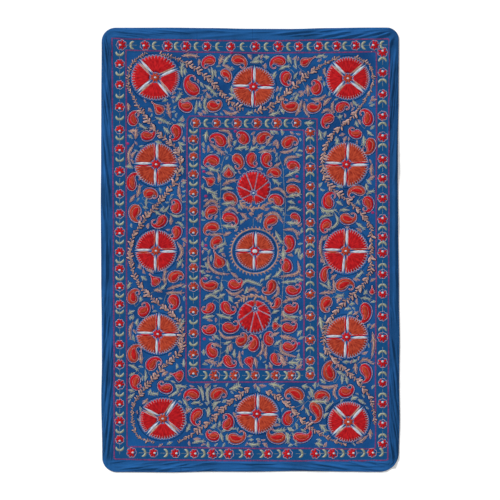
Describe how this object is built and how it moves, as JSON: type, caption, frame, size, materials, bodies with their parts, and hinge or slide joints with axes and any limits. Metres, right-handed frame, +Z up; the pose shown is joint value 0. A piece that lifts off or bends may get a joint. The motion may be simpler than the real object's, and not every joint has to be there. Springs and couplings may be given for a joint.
{
  "type": "suzani embroidered textile",
  "caption": "Oblong cotton cloth with rounded corners and a plain margin, embroidered with round flowers, paisleys, leafy vines and small flower borders, laid flat",
  "frame": {"origin": "middle of the underside, on the surface that the cloth lies on", "axes": "+X to the right of the embroidered face, +Y to its top end, +Z up out of the face"},
  "size_m": [1.4099, 2.098, 0.0081],
  "materials": {
    "ground_cloth": "plain-woven blue cotton, matt, with soft pulls towards the corners",
    "red_thread": "red couched thread with a slight sheen",
    "orange_thread": "burnt orange couched thread with a slight sheen",
    "pale_thread": "white and pale lilac chain stitch",
    "sage_thread": "sage grey-green thread",
    "beige_thread": "beige and peach thread",
    "plum_thread": "purple-red chain stitch lines",
    "navy_thread": "dark navy outline stitch"
  },
  "bodies": {
    "root": {"ground_cloth": "ground_cloth"}
  },
  "joints": []
}
